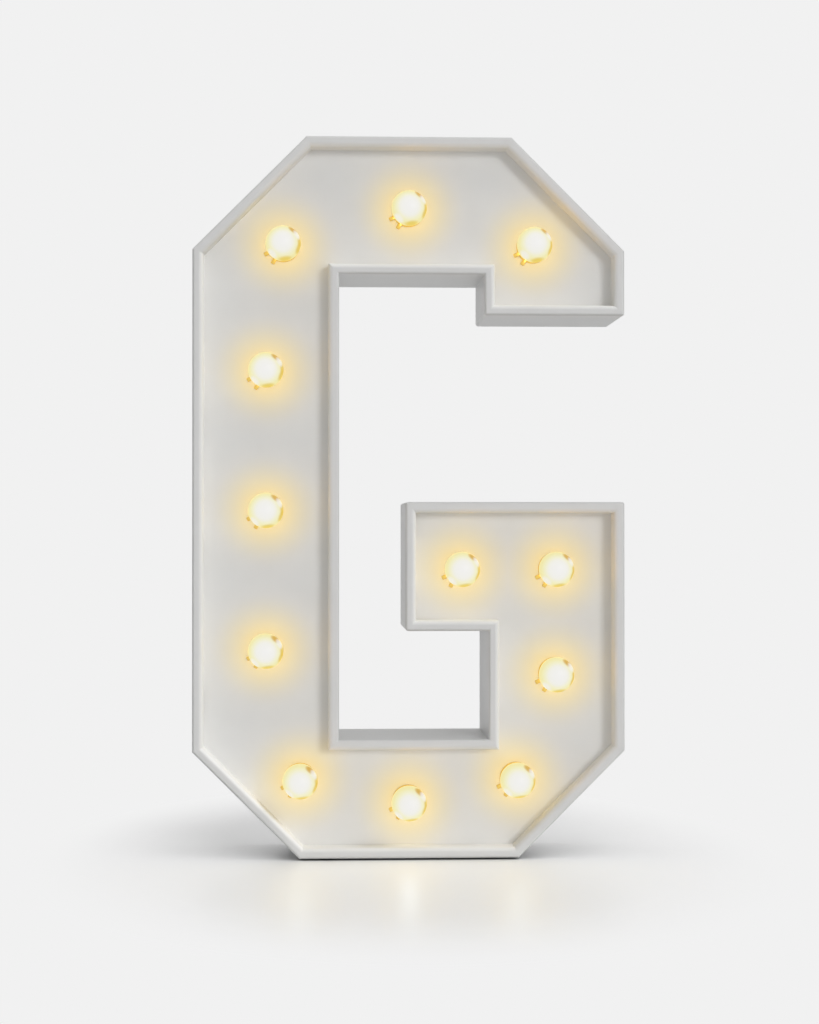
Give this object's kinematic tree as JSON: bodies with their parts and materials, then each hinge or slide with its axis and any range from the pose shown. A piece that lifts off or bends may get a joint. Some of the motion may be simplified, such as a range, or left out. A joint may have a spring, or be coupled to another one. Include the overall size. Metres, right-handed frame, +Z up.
{
  "type": "light-up letter",
  "caption": "Free-standing white block capital letter with a raised rim, recessed panel, warm globe bulbs and a switched, fused mains inlet on the back.",
  "frame": {"origin": "on the floor under the middle of the letter's box", "axes": "+Z up, the lit front faces -Y, +X to the right seen from the front"},
  "size_m": [0.731, 0.233, 1.222],
  "materials": {
    "painted_board": "satin white paint on plywood board",
    "painted_panel": "satin white paint on plywood panel",
    "bare_pine": "planed, unpainted",
    "zinc_screw": "zinc plated",
    "foot_rubber": "matt",
    "lit_globe": "opal globe, lit warm white",
    "lamp_cap": "nickel plated",
    "lampholder_plastic": "moulded thermoset",
    "brass_ring": "satin brass",
    "cable_sheath": "PVC sheath",
    "junction_plastic": "moulded",
    "inlet_plastic": "moulded, fine spark texture",
    "contact_metal": "nickel plated brass",
    "boot_rubber": "matt",
    "rocker_plastic": "moulded, gloss",
    "fuse_glass": "glass tube with metal ends"
  },
  "bodies": {
    "letter": {"wall_base": "painted_board", "wall_bottom_right_bevel": "painted_board", "wall_arm_right": "painted_board", "wall_arm_top": "painted_board", "wall_spur_end": "painted_board", "wall_spur_underside": "painted_board", "wall_arm_inner": "painted_board", "wall_bottom_bar_top": "painted_board", "wall_stem_inner": "painted_board", "wall_top_bar_underside": "painted_board", "wall_terminal_inner": "painted_board", "wall_terminal_underside": "painted_board", "wall_terminal_right": "painted_board", "wall_top_right_bevel": "painted_board", "wall_top": "painted_board", "wall_top_left_bevel": "painted_board", "wall_stem_left": "painted_board", "wall_bottom_left_bevel": "painted_board", "face_panel": "painted_panel", "back_panel": "painted_panel", "face_panel_battens": "bare_pine", "back_panel_battens": "bare_pine", "back_panel_screws": "zinc_screw", "feet": "foot_rubber", "lampholders": "lampholder_plastic", "lampholder_rings": "brass_ring", "lamp_wiring": "cable_sheath", "junction_box": "junction_plastic", "junction_lid": "junction_plastic", "inlet_housing": "inlet_plastic", "inlet_pins": "contact_metal", "inlet_boot": "boot_rubber", "inlet_screws": "zinc_screw"},
    "bulb_1": {"bulb_1_globe": "lit_globe", "bulb_1_cap": "lamp_cap"},
    "bulb_2": {"bulb_2_globe": "lit_globe", "bulb_2_cap": "lamp_cap"},
    "bulb_3": {"bulb_3_globe": "lit_globe", "bulb_3_cap": "lamp_cap"},
    "bulb_4": {"bulb_4_globe": "lit_globe", "bulb_4_cap": "lamp_cap"},
    "bulb_5": {"bulb_5_globe": "lit_globe", "bulb_5_cap": "lamp_cap"},
    "bulb_6": {"bulb_6_globe": "lit_globe", "bulb_6_cap": "lamp_cap"},
    "bulb_7": {"bulb_7_globe": "lit_globe", "bulb_7_cap": "lamp_cap"},
    "bulb_8": {"bulb_8_globe": "lit_globe", "bulb_8_cap": "lamp_cap"},
    "bulb_9": {"bulb_9_globe": "lit_globe", "bulb_9_cap": "lamp_cap"},
    "bulb_10": {"bulb_10_globe": "lit_globe", "bulb_10_cap": "lamp_cap"},
    "bulb_11": {"bulb_11_globe": "lit_globe", "bulb_11_cap": "lamp_cap"},
    "bulb_12": {"bulb_12_globe": "lit_globe", "bulb_12_cap": "lamp_cap"},
    "rocker": {"rocker_switch": "rocker_plastic"},
    "fuse_carrier": {"fuse_drawer": "inlet_plastic", "fuse": "fuse_glass"}
  },
  "joints": [
    {"name": "bulb_1_turn", "type": "hinge", "parent": "letter", "child": "bulb_1", "pos_m": [0.213, -0.052, 1.0405], "axis": [0, 1, 0], "range_deg": [-90, 0]},
    {"name": "bulb_2_turn", "type": "hinge", "parent": "letter", "child": "bulb_2", "pos_m": [0, -0.052, 1.1015], "axis": [0, 1, 0], "range_deg": [-90, 0]},
    {"name": "bulb_3_turn", "type": "hinge", "parent": "letter", "child": "bulb_3", "pos_m": [-0.213, -0.052, 1.0405], "axis": [0, 1, 0], "range_deg": [-90, 0]},
    {"name": "bulb_4_turn", "type": "hinge", "parent": "letter", "child": "bulb_4", "pos_m": [-0.242, -0.052, 0.82675], "axis": [0, 1, 0], "range_deg": [-90, 0]},
    {"name": "bulb_5_turn", "type": "hinge", "parent": "letter", "child": "bulb_5", "pos_m": [-0.242, -0.052, 0.58975], "axis": [0, 1, 0], "range_deg": [-90, 0]},
    {"name": "bulb_6_turn", "type": "hinge", "parent": "letter", "child": "bulb_6", "pos_m": [-0.242, -0.052, 0.35275], "axis": [0, 1, 0], "range_deg": [-90, 0]},
    {"name": "bulb_7_turn", "type": "hinge", "parent": "letter", "child": "bulb_7", "pos_m": [-0.184, -0.052, 0.133], "axis": [0, 1, 0], "range_deg": [-90, 0]},
    {"name": "bulb_8_turn", "type": "hinge", "parent": "letter", "child": "bulb_8", "pos_m": [0, -0.052, 0.095], "axis": [0, 1, 0], "range_deg": [-90, 0]},
    {"name": "bulb_9_turn", "type": "hinge", "parent": "letter", "child": "bulb_9", "pos_m": [0.184, -0.052, 0.133], "axis": [0, 1, 0], "range_deg": [-90, 0]},
    {"name": "bulb_10_turn", "type": "hinge", "parent": "letter", "child": "bulb_10", "pos_m": [0.25, -0.052, 0.3115], "axis": [0, 1, 0], "range_deg": [-90, 0]},
    {"name": "bulb_11_turn", "type": "hinge", "parent": "letter", "child": "bulb_11", "pos_m": [0.25, -0.052, 0.49], "axis": [0, 1, 0], "range_deg": [-90, 0]},
    {"name": "bulb_12_turn", "type": "hinge", "parent": "letter", "child": "bulb_12", "pos_m": [0.09, -0.052, 0.49], "axis": [0, 1, 0], "range_deg": [-90, 0]},
    {"name": "rocker_tilt", "type": "hinge", "parent": "letter", "child": "rocker", "pos_m": [0.092, 0.1105, 0.11], "axis": [1, 0, 0], "range_deg": [-20, 0]},
    {"name": "fuse_drawer_slide", "type": "slide", "parent": "letter", "child": "fuse_carrier", "axis": [0, 1, 0], "range_m": [0, 0.018]}
  ]
}
